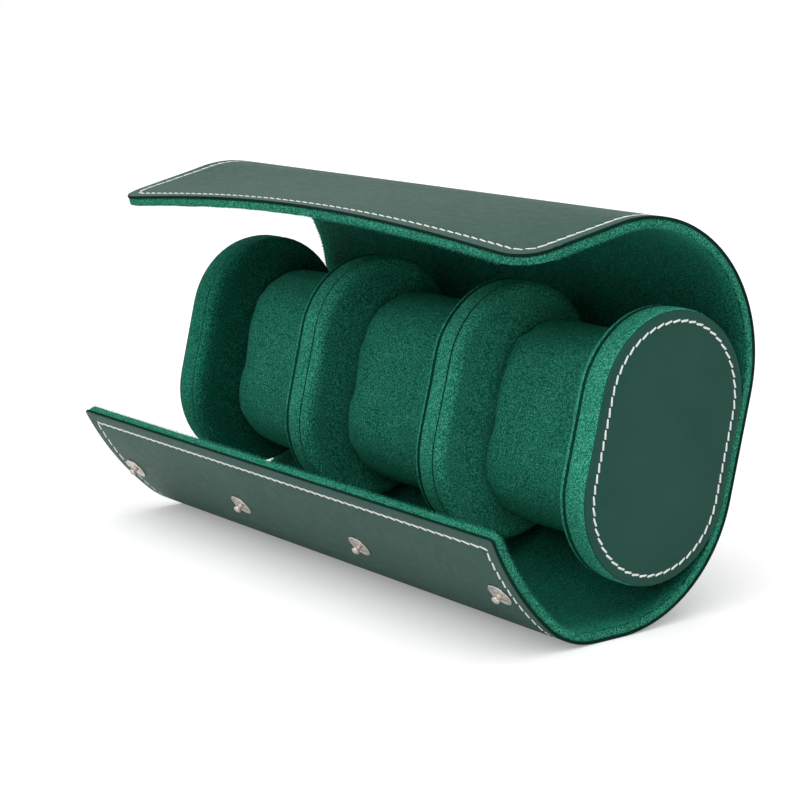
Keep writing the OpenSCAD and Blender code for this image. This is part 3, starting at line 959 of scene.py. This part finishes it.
def pillow_section(x0, x1):
    """A pillow's outline from the middle of one end to the middle of the other."""
    radius = PILLOW_W / 2

    def corner(end, face, share):
        angle = QUARTER * share
        return (
            end - face * PILLOW_ROUND * (1 - math.cos(angle)),
            radius - PILLOW_CROWN - PILLOW_ROUND * (1 - math.sin(angle)),
        )

    points = [(x0 + 0.1 * MM, 0), (x0, radius * 0.4), (x0, radius - 5 * MM)]
    points += [corner(x0, -1, i / 4) for i in range(5)]
    for i in range(1, PILLOW_STEPS):
        share = i / PILLOW_STEPS
        x = x0 + PILLOW_ROUND + (x1 - x0 - 2 * PILLOW_ROUND) * share
        points.append((x, radius - PILLOW_CROWN * (2 * share - 1) ** 4))
    points += [corner(x1, 1, 1 - i / 4) for i in range(5)]
    points += [(x1, radius - 5 * MM), (x1, radius * 0.4), (x1 - 0.1 * MM, 0)]
    return points


def settled(piece):
    """Gives a piece the mesh that its modifiers make of it."""
    depsgraph = bpy.context.evaluated_depsgraph_get()
    shape = bpy.data.meshes.new_from_object(piece.evaluated_get(depsgraph))
    piece.modifiers.clear()
    piece.data = shape


def puff_up(piece, most):
    """Fills a cushion as cloth under pressure. No point moves further than most."""
    remesh = piece.modifiers.new("remesh", "REMESH")
    remesh.mode = "VOXEL"
    remesh.voxel_size = 4 * MM
    settled(piece)
    before = [vert.co.copy() for vert in piece.data.vertices]
    cloth = piece.modifiers.new("cloth", "CLOTH")
    cloth.settings.use_pressure = True
    cloth.settings.uniform_pressure_force = 4
    cloth.settings.effector_weights.gravity = 0
    cloth.point_cache.frame_start = 1
    cloth.point_cache.frame_end = CLOTH_FRAMES
    for step in range(1, CLOTH_FRAMES + 1):
        bpy.context.scene.frame_set(step)
    settled(piece)
    bpy.context.scene.frame_set(1)
    for vert, old in zip(piece.data.vertices, before):
        move = vert.co - old
        if move.length > most:
            vert.co = old + move.normalized() * most
    finer = piece.modifiers.new("finer", "SUBSURF")
    finer.levels = finer.render_levels = 2
    settled(piece)
    for face in piece.data.polygons:
        face.use_smooth = True


def make_pillow(side, seed):
    x0, x1 = x_span(f"{side}_pillow_cover")
    bm = bmesh.new()
    stadium_sweep(bm, pillow_section(x0, x1), PILLOW_HALF, arc_steps=32)
    soften(bm, *PILLOW_LUMPS, seed)
    at_pillow = PLATES @ Matrix.Translation((0, PILLOW_BACK, -PILLOW_DROP))
    bmesh.ops.transform(bm, matrix=at_pillow, verts=bm.verts)
    pillow = finish_piece(bm, f"{side}_pillow_cushion", [SUEDE])
    puff_up(pillow, PILLOW_PUFF)
    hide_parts(*[f"{side}_pillow_{part}" for part in ("cover", "ends", "foam")])
    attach(pillow, f"{side}_pillow")


# ---- snaps ----
def lathe(bm, section, place, steps=32):
    """Turns a section of (radius, height) points about its own axis, then places it."""
    verts = [bm.verts.new((radius, 0, height)) for radius, height in section]
    edges = [bm.edges.new(pair) for pair in zip(verts, verts[1:])]
    bmesh.ops.spin(
        bm, geom=verts + edges, cent=(0, 0, 0), axis=(0, 0, 1), dvec=(0, 0, 0), angle=2 * math.pi,
        steps=steps, use_merge=True,
    )
    fresh = [vert for vert in bm.verts if not vert.tag]
    bmesh.ops.remove_doubles(bm, verts=fresh, dist=WELD)
    fresh = [vert for vert in bm.verts if not vert.tag]
    bmesh.ops.transform(bm, matrix=place, verts=fresh)
    for vert in fresh:
        vert.tag = True


def snap_place(x, s, depth, outwards):
    """Where a snap's own axis and origin lie: on the wrap, pointing out of it or into the case."""
    point, tangent, inward = wrap_frame(x, s)
    z_axis = -inward if outwards else inward
    x_axis = Vector((1, 0, 0))
    y_axis = z_axis.cross(x_axis)
    turned = Matrix((x_axis, y_axis, z_axis)).transposed().to_4x4()
    return Matrix.Translation(point + inward * depth) @ turned


# Sections in millimetres, as (radius, height above the wrap's face)
STUD_SECTION = [
    (0, -0.2), (3.3, -0.2), (3.75, -0.08), (3.9, 0.14), (3.8, 0.34), (3.5, 0.42), (3.05, 0.36),
    (2.85, 0.22), (2.55, 0.2), (2.35, 0.3), (1.7, 0.46), (1.1, 0.5), (0.85, 0.62), (0.8, 0.9),
    (0.95, 1.15), (1.22, 1.45), (1.3, 1.75), (1.22, 2.1), (0.95, 2.45), (0.5, 2.62), (0, 2.67),
]
SOCKET_SECTION = [
    (1.9, -1.0), (1.9, 0.08), (2.0, 0.16), (2.25, 0.2), (2.45, 0.12), (2.7, 0.12), (2.9, 0.2),
    (3.3, 0.24), (3.6, 0.16), (3.7, 0.06), (3.55, -0.15), (2.5, -0.2), (2.5, -1.0), (1.9, -1.0),
]


def snap_row(name, section, s, depth, outwards):
    """The same turned metal part at each of the snaps."""
    bm = bmesh.new()
    for x in SNAP_XS:
        place = snap_place(x, s, depth, outwards)
        lathe(bm, [(radius * MM, height * MM) for radius, height in section], place)
    bmesh.ops.recalc_face_normals(bm, faces=bm.faces)
    return finish_piece(bm, name, [NICKEL])


def make_snaps():
    studs = snap_row("snap_stud_heads", STUD_SECTION, LOW_END + STUD_INSET, 0, True)
    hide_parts("snap_studs")
    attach(studs, "low_flap")
    sockets = snap_row("snap_socket_rings", SOCKET_SECTION, TOP_LEN - SOCKET_INSET, WRAP_T, False)
    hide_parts("snap_sockets", "socket_springs", "socket_washers")
    bend(sockets, PARTS[-1])


# ---- what stays of the solids ----
def dress_solids():
    """Every solid has its slot's material, also those that a piece replaces."""
    finishes = {
        "leather_green": LEATHER,
        "suede_green": SUEDE,
        "board": BOARD,
        "plate_board": BOARD,
        "foam": FOAM,
        "nickel": NICKEL,
    }
    for row in frame["record"]["subparts"]:
        node = frame["nodes"][row["node"]]
        node.data.materials.clear()
        node.data.materials.append(finishes[row["material_slot"]])


# ---- stage ----
# How strong the world is to a surface it lights and to a reflection, and how much of its own
# light the floor adds for the camera, where the photo's floor is white
WORLD_FILL = 0.5
WORLD_SHINE = 0.6
FLOOR_GLOW = 0.27


def share_of_rays(nodes, links, base, camera_more, glossy_more):
    """A strength of base, with so much more for what the camera or a reflection sees."""
    path = nodes.new("ShaderNodeLightPath")
    value = None
    for ray, more in (("Is Camera Ray", camera_more), ("Is Glossy Ray", glossy_more)):
        step = nodes.new("ShaderNodeMath")
        step.operation = "MULTIPLY_ADD"
        links.new(path.outputs[ray], step.inputs[0])
        step.inputs[1].default_value = more
        if value:
            links.new(value, step.inputs[2])
        else:
            step.inputs[2].default_value = base
        value = step.outputs["Value"]
    return value


def make_floor():
    bm = bmesh.new()
    bmesh.ops.create_grid(bm, x_segments=2, y_segments=2, size=6)
    floor = finish_piece(bm, "floor", [])
    material, nodes, links, shader = new_material("floor_white")
    shader.inputs["Base Color"].default_value = (0.93, 0.93, 0.93, 1)
    shader.inputs["Roughness"].default_value = 0.9
    shader.inputs["Specular IOR Level"].default_value = 0.0
    shader.inputs["Emission Color"].default_value = (1, 1, 1, 1)
    glow = share_of_rays(nodes, links, 0, FLOOR_GLOW, 0)
    links.new(glow, shader.inputs["Emission Strength"])
    floor.data.materials.append(material)
    floor.location.z = -0.02 * MM


def make_world():
    world = bpy.data.worlds.new("studio")
    bpy.context.scene.world = world
    world.use_nodes = True
    nodes = world.node_tree.nodes
    links = world.node_tree.links
    background = nodes["Background"]
    background.inputs["Color"].default_value = (1, 1, 1, 1)
    strength = share_of_rays(nodes, links, WORLD_FILL, 1 - WORLD_FILL, WORLD_SHINE - WORLD_FILL)
    links.new(strength, background.inputs["Strength"])


def direction(around, up):
    """The way towards a spot seen at an angle around from the front and an angle up."""
    return Vector((
        math.sin(around) * math.cos(up), -math.cos(around) * math.cos(up), math.sin(up)
    ))


def soft_sun(name, azimuth, height, angle, power):
    """Wide, soft light from far off: azimuth 0 comes from the front, 90 from +X."""
    data = bpy.data.lights.new(name, "SUN")
    data.energy = power
    data.angle = math.radians(angle)
    lamp = bpy.data.objects.new(name, data)
    toward = direction(math.radians(azimuth), math.radians(height))
    lamp.rotation_euler = (-toward).to_track_quat("-Z", "Y").to_euler()
    bpy.context.scene.collection.objects.link(lamp)


def make_lights():
    soft_sun("key_light", azimuth=30, height=48, angle=60, power=1.15)
    soft_sun("top_light", azimuth=0, height=84, angle=70, power=0.85)


CAMERA_SPOT = Vector((524.02, -393.65, 180.58)) * MM
CAMERA_YAW = math.radians(52.73)
CAMERA_DIP = math.radians(11.32)
FOCAL_PIXELS = 2260.6
FRAME_PIXELS = 800


def make_camera():
    data = bpy.data.cameras.new("camera")
    data.sensor_width = 36
    data.lens = data.sensor_width * FOCAL_PIXELS / FRAME_PIXELS
    data.clip_start = 0.01
    data.clip_end = 50
    camera = bpy.data.objects.new("camera", data)
    camera.location = CAMERA_SPOT
    toward = direction(CAMERA_YAW, CAMERA_DIP)
    camera.rotation_euler = (-toward).to_track_quat("-Z", "Y").to_euler()
    bpy.context.scene.collection.objects.link(camera)
    bpy.context.scene.camera = camera


bpy.context.scene.view_settings.view_transform = "Standard"
make_camera()
make_world()
make_lights()
make_floor()
dress_solids()
make_wrap()
make_fringe()
make_wrap_stitches()
for side_name in ("left", "right"):
    make_divider(side_name)
    make_cap(side_name)
for number, side_name in enumerate(("left", "middle", "right")):
    make_pillow(side_name, number * 5)
make_snaps()
